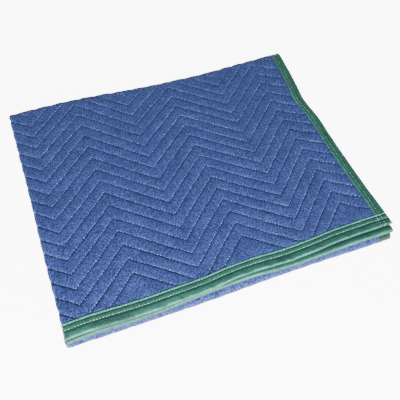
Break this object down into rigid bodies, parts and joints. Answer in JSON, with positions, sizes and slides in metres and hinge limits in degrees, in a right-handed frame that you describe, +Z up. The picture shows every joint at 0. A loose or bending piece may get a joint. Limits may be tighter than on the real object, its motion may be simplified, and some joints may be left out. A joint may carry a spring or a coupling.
{
  "type": "folded moving blanket",
  "caption": "Quilted moving blanket with bound edges, folded in three across and twice in half into a flat rectangular pad.",
  "frame": {"origin": "centre of the bottom of the folded pad's box, on the surface that it rests on", "axes": "+X along the pad's longer side, from the folded side to the bound side; +Y from the bound front edges to the folded back; +Z up through the layers"},
  "size_m": [0.609, 0.4974, 0.0455],
  "materials": {
    "cloth": "blue brushed cotton and polyester cover cloth, quilted in zigzag rows",
    "binding": "green woven binding tape, sewn with two rows"
  },
  "bodies": {
    "root": {"quilted_cloth": "cloth", "top_end_binding": "binding", "lower_end_binding": "binding", "top_side_binding": "binding", "hidden_side_binding": "binding"}
  },
  "joints": []
}
